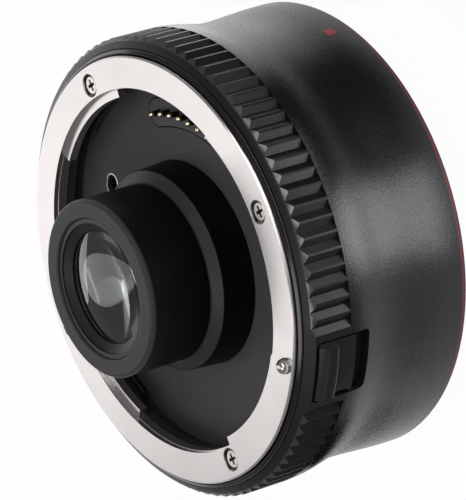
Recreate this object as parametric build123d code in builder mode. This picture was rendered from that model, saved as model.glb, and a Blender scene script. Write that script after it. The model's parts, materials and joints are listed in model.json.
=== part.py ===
from build123d import *
import math
import os

# Camera teleconverter for a wide mirrorless bayonet, in millimetres.
# The origin is the centre of the camera seat, and +Z runs along the optical axis to the lens.
# +Y is the top of the barrel, where the contacts are, and the release lever is near +X.

os.makedirs("parts", exist_ok=True)

# Fits shared by all pieces
running_clearance = 0.05
seam_gap = 0.12
overrun = 2.0
small_chamfer = 0.2

# Seats and lengths along the axis
flange_distance = 32.0
well_depth = 6.2
nose_height = 11.5

# Lens-side bayonet ring
throat_radius = 28.9
flange_width = 5.0
tab_width = 1.4
tab_drop = 0.95
tab_thickness = 1.45
throat_ledge_width = 0.12
throat_ledge_drop = 0.85
tab_starts_and_sizes = ((30, 46), (124, 44), (220, 44), (314.5, 45.5))
shim_thickness = 0.15

# Screws of both bayonet rings
mount_screw_angles = (45, 135, 225, 315)
mount_screw_inset = 2.1
mount_screw_radius = 0.8
mount_screw_head_radius = 1.55
mount_screw_head_height = 0.85
mount_screw_head_gap = 0.3
mount_screw_sink = 0.3
recess_width = 0.45
recess_length = 1.8
recess_depth = 0.5

# Barrel and grip, built outwards from the bayonet ring
trim_width = 0.75
trim_rise = 0.6
grip_thickness = 1.75
grip_height = 6.7
shoulder_drop = 0.9
shoulder_start = 1.15
groove_count = 92
grooves_left_out = 5
groove_depth = 1.1
land_width = 0.3
sleeve_wall = 1.2
barrel_waist_drop = 0.95
barrel_waist_level = 16.4
barrel_rear_drop = 0.7
barrel_step_height = 0.6
accent_thickness = 0.5
accent_rise = 0.8

# Screws that hold the sleeve to the chassis
barrel_screw_angles = (90, 210, 330)
barrel_screw_radius = 0.6
barrel_screw_length = 2.8
barrel_screw_head_radius = 0.9
barrel_screw_head_height = 0.5

# Chassis
seat_flange_thickness = 2.15
seat_lip_height = 1.55
spring_groove_width = 1.0
chassis_wall = 0.7
web_thickness = 2.0
rear_flange_thickness = 2.0
rear_seat_height = 2.4
barrel_fit_gap = 0.15

# Bayonet springs
leaf_thickness = 0.3
leaf_size_angle = 30
leaf_reach = 1.1

# Release lever, its window and the lock pin
lock_angle = 1.4
lock_travel = 1.8
lock_pin_radius = 1.2
lock_pin_height = 1.3
lock_pin_shank_radius = 0.8
lock_pin_shank_length = 3.0
dome_share = 0.85
window_half_angle = 8.1
window_edge = 0.25
window_corner_radius = 0.8
knob_side_gap = 0.35
knob_front_gap = 0.6
knob_end_gap = 0.8
knob_floor_gap = 0.25
knob_front_slope = 0.8
knob_ridge_width = 2.3
knob_rear_slope = 0.2
knob_plate_length = 3.6
knob_plate_height = 1.6
knob_ridge_height = 2.5
knob_ridge_round = 0.35
knob_ridge_inset_angle = 0.9
knob_notch_angle = 1.2
knob_notch_length = 3.0

# Carriage behind the knob, its rods, screws and springs
carriage_gap = 0.25
carriage_height = 4.5
carriage_edge = 0.85
stem_width = 6.0
stem_length = 1.7
stem_inset = 0.35
stem_slot_gap = 0.3
guide_offset = 4.7
guide_rod_radius = 0.75
guide_rod_seat = 1.2
spring_space = 8.1
spring_radius = 1.0
spring_wire_radius = 0.18
spring_turns = 8
spring_ledge_height = 2.5
release_screw_offset = 2.2
release_screw_radius = 0.5
release_screw_head_radius = 0.85
release_screw_head_height = 0.5

# Floor of the well, with a small lined hole
baffle_thickness = 0.8
bush_place_share = 0.425
bush_angle = 173
bush_width = 3.0
bush_length = 3.9
bush_wall = 0.25
bush_stand = 0.15

# Contact block and its sprung contacts
contact_inset = 5.1
contact_count = 11
contact_pitch_angle = 5.9
contact_margin_angle = 1.2
contact_travel = 1.2
contact_pin_radius = 0.45
contact_pin_height = 1.9
contact_tip_share = 0.9
contact_shoulder_radius = 0.75
contact_shoulder_height = 0.5
contact_tail_length = 1.0
contact_end_gap = 0.3
contact_block_width = 4.4
contact_block_gap = 0.2
contact_plate_thickness = 1.2
contact_board_thickness = 0.8
contact_post_radius = 1.5
contact_post_height = 1.3

# Circuit board, chips and flexible cables
board_thickness = 1.0
board_gap = 0.9
boss_radius = 1.8
boss_height = 1.3
boss_angles = (30, 150, 270)
board_screw_radius = 0.6
board_screw_head_radius = 1.2
board_screw_head_height = 0.7
chip_height = 1.2
chip_angles = (200, 235, 320)
chip_sizes = (6.5, 5.0, 4.2)
flex_thickness = 0.2
flex_width = 9.0
flex_offset = 1.2
flex_slot_gap = 0.6

# Nose tube and the collar round it
nose_radius = 14.05
nose_wall = 2.95
nose_edge_radius = 0.6
nose_lip_radius = 0.3
nose_relief_depth = 0.2
nose_relief_height = 0.3
nose_seat_width = 1.2
nose_seat_height = 3.0
collar_width = 2.35
collar_draft = 0.35
collar_height = 6.8
collar_chamfer_height = 1.2
collar_chamfer_width = 1.55

# Ring in front of the glass
front_ring_recess = 0.35
front_ring_height = 1.3
front_ring_width = 2.15
front_ring_rim_width = 0.75
front_ring_step = 0.3
front_ring_lip = 0.3

# Rear cell and its ring
cell_rise = 3.5
cell_wall = 1.55
cell_seat_height = 1.5
cell_flange_width = 2.6
cell_flange_height = 1.1
cell_end = 2.6
cell_ring_recess = 0.3
cell_ring_height = 1.2
cell_ring_width = 1.8

# Glass and spacers from front to rear: share of the stack, then front and rear bulge
spacer_width = 1.25
glass_rim_width = 0.25
front_stack_shares = (
    ("front_element", 0.22, 0.063, -0.05),
    ("first_spacer", 0.12, 0, 0),
    ("second_element", 0.13, -0.05, -0.06),
    ("second_spacer", 0.16, 0, 0),
    ("third_element", 0.37, 0.09, 0.04),
)
rear_stack_shares = (
    ("fourth_element", 0.24, -0.05, 0.05),
    ("fourth_spacer", 0.17, 0, 0),
    ("fifth_element", 0.13, -0.05, -0.05),
    ("fifth_spacer", 0.16, 0, 0),
    ("sixth_element", 0.3, 0.06, 0.04),
)

# Camera-side bayonet
bayonet_gap = 0.6
bayonet_height = 5.6
bayonet_wall = 1.3
bayonet_ledge_width = 1.0
rear_tab_gap = 0.2
rear_tab_level = 2.5
rear_tab_thickness = 1.6
rear_tab_starts_and_sizes = ((33, 40), (126, 40), (222, 40), (326, 18))
rear_lock_hole_gap = 0.15
rear_lock_hole_depth = 1.5

# Light mask inside the camera-side bayonet
mask_level = 2.8
mask_thickness = 0.8
mask_window_width = 25.0
mask_window_height = 18.0
mask_window_corner = 3.0

# Contact block of the camera side
rear_block_width = 3.6
rear_block_reach = 5.3
rear_block_margin_angle = 5
rear_block_foot_height = 1.3
rear_block_foot_width = 2.2
rear_pad_length = 2.4
rear_pad_width = 1.1
rear_pad_thickness = 0.3
rear_block_screw_angle = 3
rear_block_screw_radius = 0.5
rear_block_screw_depth = 1.2
rear_block_screw_head_radius = 0.95
rear_block_screw_head_height = 0.5

# Base ring and rubber lip round the camera seat
lip_width = 0.9
lip_reach = 0.3
base_ring_step = 0.4
base_ring_set_back = 0.1

# Radii from the bayonet ring outwards
ring_radius = throat_radius + flange_width
tab_radius = throat_radius - tab_width
screw_circle_radius = throat_radius + mount_screw_inset
counterbore_radius = mount_screw_head_radius + mount_screw_head_gap
trim_inner_radius = ring_radius + seam_gap
trim_radius = trim_inner_radius + trim_width
sleeve_radius = trim_radius + seam_gap
lip_inner_radius = ring_radius + seam_gap
grip_radius = sleeve_radius + grip_thickness
barrel_bore_radius = sleeve_radius - sleeve_wall
barrel_rear_radius = grip_radius - barrel_rear_drop

# Radii of the chassis and of the slide between chassis and barrel
seat_bore_radius = throat_radius + running_clearance
seat_flange_radius = barrel_bore_radius - barrel_fit_gap
chassis_bore_radius = throat_radius - seam_gap
spring_groove_radius = throat_radius + spring_groove_width
chassis_radius = spring_groove_radius + chassis_wall
carriage_inner_radius = chassis_radius + carriage_gap
carriage_outer_radius = barrel_bore_radius - carriage_gap
lock_circle_radius = (carriage_inner_radius + carriage_outer_radius) / 2
lock_bore_radius = lock_pin_radius + running_clearance
guide_bore_radius = guide_rod_radius + running_clearance

# Radii of the well, the nose and the camera-side bayonet
contact_circle_radius = throat_radius - contact_inset
nose_bore_radius = nose_radius - nose_wall
front_ring_opening = nose_bore_radius - front_ring_width
spigot_radius = nose_radius - nose_relief_depth
collar_bore_radius = spigot_radius + running_clearance
collar_radius = collar_bore_radius + collar_width
cell_bore_radius = spigot_radius - cell_wall
board_inner_radius = nose_radius + board_gap
board_radius = chassis_bore_radius - board_gap
boss_circle_radius = (board_inner_radius + board_radius) / 2
bayonet_radius = tab_radius - bayonet_gap
bayonet_bore_radius = bayonet_radius - bayonet_wall
ledge_bore_radius = bayonet_bore_radius - bayonet_ledge_width
rear_tab_radius = throat_radius - rear_tab_gap
rear_contact_circle_radius = bayonet_bore_radius - seam_gap - rear_block_width / 2

# Levels from the lens seat down
lens_face = flange_distance
ring_bottom = lens_face - tab_drop - tab_thickness
seat_level = ring_bottom - shim_thickness
seat_flange_bottom = seat_level - seat_flange_thickness
seat_lip_bottom = seat_level - seat_lip_height
head_bottom = lens_face - mount_screw_sink - mount_screw_head_height
head_top = lens_face - mount_screw_sink
counterbore_depth = mount_screw_head_height + mount_screw_sink
shoulder_level = lens_face - shoulder_start
grip_edge_level = shoulder_level - shoulder_drop
grip_rear = grip_edge_level - grip_height
barrel_rear = rear_flange_thickness
accent_level = accent_rise
barrel_skirt_level = accent_level + accent_thickness

# Levels of the well, the contacts and the boards
baffle_face = lens_face - well_depth
baffle_bottom = baffle_face - baffle_thickness
plate_bottom = baffle_face - contact_plate_thickness
shoulder_bottom = plate_bottom - contact_shoulder_height
tail_bottom = shoulder_bottom - contact_tail_length
block_bottom = tail_bottom - contact_travel - contact_end_gap
contact_board_bottom = block_bottom - contact_board_thickness
web_top = contact_board_bottom - contact_post_height
web_bottom = web_top - web_thickness
board_top = web_bottom - boss_height
board_bottom = board_top - board_thickness

# Levels of the optics
nose_front = lens_face + nose_height
cell_top = web_top + cell_rise
nose_seat_level = cell_top + nose_seat_height
front_ring_top = nose_front - front_ring_recess
front_glass_level = front_ring_top - front_ring_height
cell_seat_level = cell_top - cell_seat_height
rear_glass_level = cell_end + cell_ring_recess + cell_ring_height

# Levels of the lever and the slide
window_front = grip_edge_level - window_edge
knob_front = window_front - knob_front_gap
ridge_level = knob_front - knob_front_slope
ridge_back_level = ridge_level - knob_ridge_width
ridge_rear = ridge_back_level - knob_rear_slope
knob_rear = ridge_rear - knob_plate_length
window_rear = knob_rear - lock_travel - knob_end_gap
carriage_top = seat_flange_bottom - carriage_gap
carriage_bottom = carriage_top - carriage_height
stem_top = carriage_top - stem_inset
stem_bottom = stem_top - stem_length
spring_ledge_top = carriage_bottom - spring_space
spring_ledge_bottom = spring_ledge_top - spring_ledge_height

# Angles that set places round the axis
guide_angle = math.degrees(guide_offset / lock_circle_radius)
guide_angles = (lock_angle - guide_angle, lock_angle + guide_angle)
guide_reach = guide_offset + guide_rod_radius + carriage_edge
carriage_half_angle = math.degrees(guide_reach / lock_circle_radius)
carriage_start = lock_angle - carriage_half_angle
contact_angles = [
    90 + (index - (contact_count - 1) / 2) * contact_pitch_angle for index in range(contact_count)
]
contact_arc_half_angle = (contact_count - 1) / 2 * contact_pitch_angle + contact_margin_angle


def radial_plane(angle):
    """Plane through the axis, turned so that its x direction points at the angle."""
    return Plane(
        origin=(0, 0, 0),
        x_dir=Vector(1, 0, 0).rotate(Axis.Z, angle),
        z_dir=Vector(0, -1, 0).rotate(Axis.Z, angle),
    )


def outward_plane(radius, angle, level):
    """Plane that faces outwards at a place round the axis, with its x direction along it."""
    outward = Vector(1, 0, 0).rotate(Axis.Z, angle)
    return Plane(origin=outward * radius + Vector(0, 0, level), x_dir=(0, 0, 1), z_dir=outward)


def place(radius, angle):
    """Point at a radius and angle round the axis, for use on a level plane."""
    point = Vector(radius, 0, 0).rotate(Axis.Z, angle)
    return (point.X, point.Y)


def turned(points, start=0, size=360, mode=Mode.ADD):
    """Add or cut a turned shape whose section is an outline of radius and level."""
    with BuildSketch(radial_plane(start), mode=Mode.PRIVATE) as section:
        with BuildLine():
            Polyline(*points, close=True)
        make_face()
    revolve(section.sketch, axis=Axis.Z, revolution_arc=size, mode=mode)


def ring(inner, outer, bottom, top, start=0, size=360, mode=Mode.ADD):
    """Add or cut a rectangular ring or a sector of one."""
    turned(((inner, bottom), (outer, bottom), (outer, top), (inner, top)), start, size, mode)


def bars(radius, circle_radius, angles, bottom, top, mode=Mode.ADD):
    """Add or cut round bars parallel to the axis."""
    with BuildSketch(Plane.XY.offset(bottom), mode=Mode.PRIVATE) as section:
        with Locations(*[place(circle_radius, angle) for angle in angles]):
            Circle(radius)
    extrude(section.sketch, amount=top - bottom, mode=mode)


def drill(radius, circle_radius, angles, bottom, top):
    """Cut round holes parallel to the axis."""
    bars(radius, circle_radius, angles, bottom, top, Mode.SUBTRACT)


def radial_bars(radius, angles, level, inner, outer, mode=Mode.ADD):
    """Add or cut round bars that point outwards from the axis."""
    for angle in angles:
        with BuildSketch(outward_plane(inner, angle, level), mode=Mode.PRIVATE) as section:
            Circle(radius)
        extrude(section.sketch, amount=outer - inner, mode=mode)


def cross_recesses(circle_radius, angles, surface, depth):
    """Cut cross recesses into screw heads whose tops lie at one level."""
    for angle in angles:
        with BuildSketch(Plane.XY.offset(surface), mode=Mode.PRIVATE) as cross:
            with Locations(place(circle_radius, angle)):
                Rectangle(recess_length, recess_width, rotation=angle)
                Rectangle(recess_width, recess_length, rotation=angle)
        extrude(cross.sketch, amount=depth, mode=Mode.SUBTRACT)


def save(piece, name):
    """Label a finished piece and write its file."""
    piece.part.label = name
    export_step(piece.part, f"parts/{name}.step")


# Lens-side bayonet ring with a ledge in its throat, its tabs, screw counterbores and pin hole
with BuildPart() as lens_bayonet_ring:
    turned(
        (
            (throat_radius, ring_bottom),
            (ring_radius, ring_bottom),
            (ring_radius, lens_face - small_chamfer),
            (ring_radius - small_chamfer, lens_face),
            (throat_radius, lens_face),
        )
    )
    tab_root_radius = throat_radius + seam_gap
    ledge_radius = throat_radius - throat_ledge_width
    ring(ledge_radius, tab_root_radius, ring_bottom, lens_face - throat_ledge_drop)
    for tab_start, tab_size in tab_starts_and_sizes:
        ring(tab_radius, tab_root_radius, ring_bottom, lens_face - tab_drop, tab_start, tab_size)
    drill(lock_bore_radius, lock_circle_radius, (lock_angle,), ring_bottom, lens_face)
    drill(mount_screw_radius, screw_circle_radius, mount_screw_angles, ring_bottom, lens_face)
    drill(counterbore_radius, screw_circle_radius, mount_screw_angles, head_bottom, lens_face)
save(lens_bayonet_ring, "lens_bayonet_ring")

# Four screws that hold the lens-side ring to the chassis
with BuildPart() as lens_mount_screws:
    bars(mount_screw_radius, screw_circle_radius, mount_screw_angles, seat_flange_bottom, head_bottom)
    bars(mount_screw_head_radius, screw_circle_radius, mount_screw_angles, head_bottom, head_top)
    head_rims = edges().filter_by(GeomType.CIRCLE).group_by(Axis.Z)[-1]
    chamfer(head_rims, small_chamfer)
    cross_recesses(screw_circle_radius, mount_screw_angles, head_top, -recess_depth)
save(lens_mount_screws, "lens_mount_screws")

# Shim that sets the height of the lens-side ring over the chassis
with BuildPart() as mount_shim:
    ring(seat_bore_radius, ring_radius - seam_gap, seat_level, ring_bottom)
    drill(mount_screw_radius, screw_circle_radius, mount_screw_angles, seat_level, ring_bottom)
    drill(lock_bore_radius, lock_circle_radius, (lock_angle,), seat_level, ring_bottom)
save(mount_shim, "mount_shim")

# Glossy trim ring between the bayonet ring and the grip
trim_peak_level = shoulder_level + trim_rise
trim_edge_level = shoulder_level + small_chamfer
with BuildPart() as front_trim_ring:
    turned(
        (
            (trim_inner_radius, seat_level),
            (trim_inner_radius, trim_peak_level - small_chamfer),
            (trim_inner_radius + small_chamfer, trim_peak_level),
            (trim_radius, trim_edge_level),
            (trim_radius, seat_level),
        )
    )
save(front_trim_ring, "front_trim_ring")

# Opening for the release lever, cut into the grip band and the barrel
with BuildPart() as lever_window:
    ring(
        sleeve_radius,
        grip_radius + overrun,
        window_rear,
        window_front,
        lock_angle - window_half_angle,
        2 * window_half_angle,
    )
    corner_edges = edges().filter_by(GeomType.LINE).filter_by(Axis.Z, reverse=True)
    fillet(corner_edges, window_corner_radius)

# Grip band: a sloping shoulder, and V grooves that run out on it
groove_pitch_angle = 360 / groove_count
grooves_cut = groove_count - grooves_left_out
groove_half_width = (math.radians(groove_pitch_angle) * grip_radius - land_width) / 2
cutter_depth = groove_depth + overrun
cutter_half_width = groove_half_width * cutter_depth / groove_depth
with BuildPart() as grip_ring:
    turned(
        (
            (sleeve_radius, grip_rear),
            (sleeve_radius, shoulder_level),
            (grip_radius, grip_edge_level),
            (grip_radius, grip_rear),
        )
    )
    with BuildSketch(Plane.XY.offset(grip_rear)):
        with PolarLocations(
            grip_radius - groove_depth,
            grooves_cut,
            start_angle=lock_angle + (grooves_left_out + 1) / 2 * groove_pitch_angle,
            angular_range=(grooves_cut - 1) * groove_pitch_angle,
            endpoint=True,
        ):
            Polygon(
                (0, 0),
                (cutter_depth, -cutter_half_width),
                (cutter_depth, cutter_half_width),
                align=None,
            )
    extrude(amount=grip_height + shoulder_drop, mode=Mode.SUBTRACT)
    add(lever_window.part, mode=Mode.SUBTRACT)
save(grip_ring, "grip_ring")

# Barrel: a thin sleeve under the grip, and a waisted outer wall behind it
waist_radius = grip_radius - barrel_waist_drop
step_level = grip_rear - barrel_step_height
slot_half_angle = math.degrees((stem_width / 2 + stem_slot_gap) / sleeve_radius)
barrel_screw_level = (seat_level + seat_flange_bottom) / 2
barrel_screw_floor = sleeve_radius - seam_gap - barrel_screw_head_height
with BuildPart() as outer_barrel:
    with BuildSketch(Plane.XZ):
        with BuildLine():
            Polyline(
                (barrel_rear_radius, barrel_skirt_level),
                (lip_inner_radius, barrel_skirt_level),
                (lip_inner_radius, barrel_rear),
                (barrel_bore_radius, barrel_rear),
                (barrel_bore_radius, seat_level),
                (sleeve_radius, seat_level),
                (sleeve_radius, grip_rear),
                (grip_radius, grip_rear),
                (grip_radius, step_level),
            )
            Spline(
                (grip_radius, step_level),
                (waist_radius, barrel_waist_level),
                (barrel_rear_radius, barrel_skirt_level),
                tangents=((0, -1), (0, -1)),
            )
        make_face()
    revolve(axis=Axis.Z)
    add(lever_window.part, mode=Mode.SUBTRACT)
    ring(
        barrel_bore_radius - overrun,
        sleeve_radius + overrun,
        stem_bottom - lock_travel - stem_slot_gap,
        stem_top + stem_slot_gap,
        lock_angle - slot_half_angle,
        2 * slot_half_angle,
        Mode.SUBTRACT,
    )
    radial_bars(
        barrel_screw_radius,
        barrel_screw_angles,
        barrel_screw_level,
        barrel_bore_radius - overrun,
        sleeve_radius + overrun,
        Mode.SUBTRACT,
    )
    radial_bars(
        barrel_screw_head_radius,
        barrel_screw_angles,
        barrel_screw_level,
        barrel_screw_floor,
        sleeve_radius + overrun,
        Mode.SUBTRACT,
    )
save(outer_barrel, "outer_barrel")

# Three radial screws that hold the sleeve to the chassis, hidden under the grip
barrel_screw_end = barrel_screw_floor - barrel_screw_length
with BuildPart() as barrel_screws:
    radial_bars(
        barrel_screw_radius,
        barrel_screw_angles,
        barrel_screw_level,
        barrel_screw_end,
        barrel_screw_floor,
    )
    radial_bars(
        barrel_screw_head_radius,
        barrel_screw_angles,
        barrel_screw_level,
        barrel_screw_floor,
        barrel_screw_floor + barrel_screw_head_height,
    )
save(barrel_screws, "barrel_screws")

# Cast chassis: two flanges, a wall, a web for the optics and a ledge for the springs
rear_seat_top = rear_flange_thickness + rear_seat_height
contact_post_angles = (90 - contact_arc_half_angle, 90 + contact_arc_half_angle)
front_flex_radius = contact_circle_radius + flex_offset
with BuildPart() as inner_chassis:
    ring(chassis_bore_radius, chassis_radius, rear_flange_thickness, baffle_bottom)
    ring(spring_groove_radius, chassis_radius, baffle_bottom, seat_level)
    ring(spring_groove_radius, seat_flange_radius, seat_flange_bottom, seat_level)
    ring(seat_bore_radius, spring_groove_radius, seat_lip_bottom, seat_level)
    ring(chassis_bore_radius, seat_flange_radius, rear_flange_thickness, rear_seat_top)
    ring(collar_bore_radius, chassis_radius, web_bottom, web_top)
    ring(
        spring_groove_radius,
        carriage_outer_radius,
        spring_ledge_bottom,
        spring_ledge_top,
        carriage_start,
        2 * carriage_half_angle,
    )
    bars(boss_radius, boss_circle_radius, boss_angles, board_top, web_bottom)
    bars(
        contact_post_radius,
        contact_circle_radius,
        contact_post_angles,
        web_top,
        contact_board_bottom,
    )
    drill(board_screw_radius, boss_circle_radius, boss_angles, board_top, web_top)
    drill(
        mount_screw_radius,
        screw_circle_radius,
        mount_screw_angles,
        seat_flange_bottom,
        seat_level,
    )
    drill(lock_bore_radius, lock_circle_radius, (lock_angle,), seat_flange_bottom, seat_level)
    drill(
        guide_rod_radius,
        lock_circle_radius,
        guide_angles,
        seat_flange_bottom,
        seat_flange_bottom + guide_rod_seat,
    )
    drill(
        guide_rod_radius,
        lock_circle_radius,
        guide_angles,
        spring_ledge_bottom,
        spring_ledge_top,
    )
    drill(
        mount_screw_radius,
        screw_circle_radius,
        mount_screw_angles,
        rear_flange_thickness,
        rear_seat_top,
    )
    radial_bars(
        barrel_screw_radius,
        barrel_screw_angles,
        barrel_screw_level,
        barrel_screw_end,
        sleeve_radius,
        Mode.SUBTRACT,
    )
    with BuildSketch(Plane.XY.offset(web_bottom), mode=Mode.PRIVATE) as flex_slot:
        with Locations((0, front_flex_radius)):
            Rectangle(flex_width + 2 * flex_slot_gap, flex_thickness + 2 * flex_slot_gap)
    extrude(flex_slot.sketch, amount=web_thickness, mode=Mode.SUBTRACT)
save(inner_chassis, "inner_chassis")

# Leaves that press the lens against the ring, held in the groove of the chassis
leaf_top = seat_lip_bottom - running_clearance
with BuildPart() as bayonet_leaf_springs:
    for tab_start, tab_size in tab_starts_and_sizes:
        ring(
            throat_radius - leaf_reach,
            spring_groove_radius,
            leaf_top - leaf_thickness,
            leaf_top,
            tab_start + (tab_size - leaf_size_angle) / 2,
            leaf_size_angle,
        )
save(bayonet_leaf_springs, "bayonet_leaf_springs")

# Matt floor of the well, with the block's opening and a small hole
contact_arc = CenterArc(
    (0, 0),
    contact_circle_radius,
    90 - contact_arc_half_angle,
    2 * contact_arc_half_angle,
)
bush_circle_radius = collar_radius + (spring_groove_radius - collar_radius) * bush_place_share
bush_place = place(bush_circle_radius, bush_angle)
with BuildPart() as front_baffle:
    ring(collar_radius + running_clearance, spring_groove_radius, baffle_bottom, baffle_face)
    with BuildSketch(Plane.XY.offset(baffle_bottom)):
        SlotArc(contact_arc, contact_block_width + 2 * contact_block_gap)
        with Locations(bush_place):
            SlotOverall(bush_length, bush_width, rotation=90)
    extrude(amount=baffle_thickness, mode=Mode.SUBTRACT)
save(front_baffle, "front_baffle")

# Bright liner of the small hole
with BuildPart() as baffle_bush:
    with BuildSketch(Plane.XY.offset(baffle_bottom)):
        with Locations(bush_place):
            SlotOverall(bush_length, bush_width, rotation=90)
            SlotOverall(
                bush_length - 2 * bush_wall,
                bush_width - 2 * bush_wall,
                rotation=90,
                mode=Mode.SUBTRACT,
            )
    extrude(amount=baffle_thickness + bush_stand)
save(baffle_bush, "baffle_bush")

# Insulating block: close holes through its top plate, and wider ones behind for the shoulders
with BuildPart() as front_contact_block:
    with BuildSketch(Plane.XY.offset(block_bottom)):
        SlotArc(contact_arc, contact_block_width)
    extrude(amount=baffle_face - block_bottom)
    shoulder_bore_radius = contact_shoulder_radius + running_clearance
    contact_bore_radius = contact_pin_radius + running_clearance
    drill(shoulder_bore_radius, contact_circle_radius, contact_angles, block_bottom, plate_bottom)
    drill(contact_bore_radius, contact_circle_radius, contact_angles, plate_bottom, baffle_face)
save(front_contact_block, "front_contact_block")

# Small board that closes the block from behind
with BuildPart() as front_contact_board:
    with BuildSketch(Plane.XY.offset(contact_board_bottom)):
        SlotArc(contact_arc, contact_block_width)
    extrude(amount=contact_board_thickness)
save(front_contact_board, "front_contact_board")

# Sprung contacts, each a domed pin with a shoulder that stops it under the top plate
contact_tip_level = baffle_face + contact_pin_height
for number, contact_angle in enumerate(contact_angles, start=1):
    with BuildPart() as contact_pin:
        bars(
            contact_pin_radius,
            contact_circle_radius,
            (contact_angle,),
            tail_bottom,
            contact_tip_level,
        )
        tip_edge = edges().filter_by(GeomType.CIRCLE).sort_by(Axis.Z)[-1]
        fillet(tip_edge, contact_pin_radius * contact_tip_share)
        bars(
            contact_shoulder_radius,
            contact_circle_radius,
            (contact_angle,),
            shoulder_bottom,
            plate_bottom,
        )
    save(contact_pin, f"contact_pin_{number:02d}")

# Lock pin: a domed pin on a thinner shank
shank_bottom = carriage_top - lock_pin_shank_length
with BuildPart() as lock_pin:
    bars(
        lock_pin_radius,
        lock_circle_radius,
        (lock_angle,),
        carriage_top,
        lens_face + lock_pin_height,
    )
    dome_edge = edges().filter_by(GeomType.CIRCLE).sort_by(Axis.Z)[-1]
    fillet(dome_edge, lock_pin_radius * dome_share)
    bars(lock_pin_shank_radius, lock_circle_radius, (lock_angle,), shank_bottom, carriage_top)
save(lock_pin, "lock_pin")

# Carriage that joins the knob to the pin and runs on two rods
stem_level = (stem_bottom + stem_top) / 2
release_screw_angle = math.degrees(release_screw_offset / lock_circle_radius)
release_screw_angles = (lock_angle - release_screw_angle, lock_angle + release_screw_angle)
release_head_radius_level = carriage_inner_radius + release_screw_head_height
plate_inner_radius = sleeve_radius + knob_floor_gap
plate_outer_radius = sleeve_radius + knob_plate_height
release_screw_end = (plate_inner_radius + plate_outer_radius) / 2
with BuildPart() as release_carriage:
    ring(
        carriage_inner_radius,
        carriage_outer_radius,
        carriage_bottom,
        carriage_top,
        carriage_start,
        2 * carriage_half_angle,
    )
    drill(guide_bore_radius, lock_circle_radius, guide_angles, carriage_bottom, carriage_top)
    drill(lock_pin_shank_radius, lock_circle_radius, (lock_angle,), shank_bottom, carriage_top)
    radial_bars(
        release_screw_radius,
        release_screw_angles,
        stem_level,
        carriage_inner_radius,
        release_screw_end,
        Mode.SUBTRACT,
    )
    radial_bars(
        release_screw_head_radius,
        release_screw_angles,
        stem_level,
        carriage_inner_radius - overrun,
        release_head_radius_level,
        Mode.SUBTRACT,
    )
save(release_carriage, "release_carriage")

# Knob: a flush plate with a flat-topped ridge, and a stem through the sleeve
knob_half_angle = window_half_angle - math.degrees(knob_side_gap / sleeve_radius)
ridge_radius = sleeve_radius + knob_ridge_height
stem_half_angle = math.degrees(stem_width / 2 / sleeve_radius)
with BuildPart() as release_knob:
    turned(
        (
            (plate_inner_radius, knob_rear),
            (plate_inner_radius, knob_front),
            (plate_outer_radius, knob_front),
            (ridge_radius, ridge_level),
            (ridge_radius, ridge_back_level),
            (plate_outer_radius, ridge_rear),
            (plate_outer_radius, knob_rear),
        ),
        lock_angle - knob_half_angle,
        2 * knob_half_angle,
    )
    ring(
        plate_outer_radius,
        ridge_radius + overrun,
        ridge_rear,
        knob_front,
        lock_angle + knob_half_angle - knob_ridge_inset_angle,
        knob_ridge_inset_angle,
        mode=Mode.SUBTRACT,
    )
    ridge_edges = edges().filter_by(GeomType.CIRCLE).group_by(SortBy.RADIUS)[-1]
    fillet(ridge_edges, knob_ridge_round)
    ring(
        carriage_outer_radius,
        plate_outer_radius - knob_floor_gap,
        stem_bottom,
        stem_top,
        lock_angle - stem_half_angle,
        2 * stem_half_angle,
    )
    ring(
        sleeve_radius,
        plate_outer_radius + overrun,
        ridge_rear - knob_notch_length,
        ridge_rear,
        lock_angle - window_half_angle,
        knob_notch_angle,
        Mode.SUBTRACT,
    )
    radial_bars(
        release_screw_radius,
        release_screw_angles,
        stem_level,
        carriage_inner_radius,
        release_screw_end,
        Mode.SUBTRACT,
    )
save(release_knob, "release_knob")

# Two screws from the carriage into the stem
with BuildPart() as release_screws:
    radial_bars(
        release_screw_head_radius,
        release_screw_angles,
        stem_level,
        carriage_inner_radius,
        release_head_radius_level,
    )
    radial_bars(
        release_screw_radius,
        release_screw_angles,
        stem_level,
        carriage_inner_radius,
        release_screw_end,
    )
save(release_screws, "release_screws")

# Two rods between the spring ledge and the seat flange
with BuildPart() as guide_rods:
    bars(
        guide_rod_radius,
        lock_circle_radius,
        guide_angles,
        spring_ledge_bottom,
        seat_flange_bottom + guide_rod_seat,
    )
save(guide_rods, "guide_rods")

# Two coil springs round the rods, between the ledge and the carriage
coil_height = spring_space - 2 * spring_wire_radius
coil_bottom = spring_ledge_top + spring_wire_radius
with BuildPart() as release_springs:
    for rod_angle in guide_angles:
        coil_centre = (*place(lock_circle_radius, rod_angle), coil_bottom)
        coil = Helix(coil_height / spring_turns, coil_height, spring_radius, center=coil_centre)
        with BuildSketch(Plane(origin=coil @ 0, z_dir=coil % 0), mode=Mode.PRIVATE) as wire:
            Circle(spring_wire_radius)
        sweep(wire.sketch, path=coil, is_frenet=True)
save(release_springs, "release_springs")

# Main board under the web
with BuildPart() as main_circuit_board:
    ring(board_inner_radius, board_radius, board_bottom, board_top)
    drill(board_screw_radius, boss_circle_radius, boss_angles, board_bottom, board_top)
save(main_circuit_board, "main_circuit_board")

with BuildPart() as board_chips:
    with BuildSketch(Plane.XY.offset(board_bottom)):
        for chip_angle, chip_size in zip(chip_angles, chip_sizes):
            with Locations(place(boss_circle_radius, chip_angle)):
                Rectangle(chip_size, chip_size, rotation=chip_angle)
    extrude(amount=-chip_height)
save(board_chips, "board_chips")

with BuildPart() as board_screws:
    board_head_bottom = board_bottom - board_screw_head_height
    bars(board_screw_radius, boss_circle_radius, boss_angles, board_bottom, web_top)
    bars(board_screw_head_radius, boss_circle_radius, boss_angles, board_head_bottom, board_bottom)
save(board_screws, "board_screws")

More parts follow.
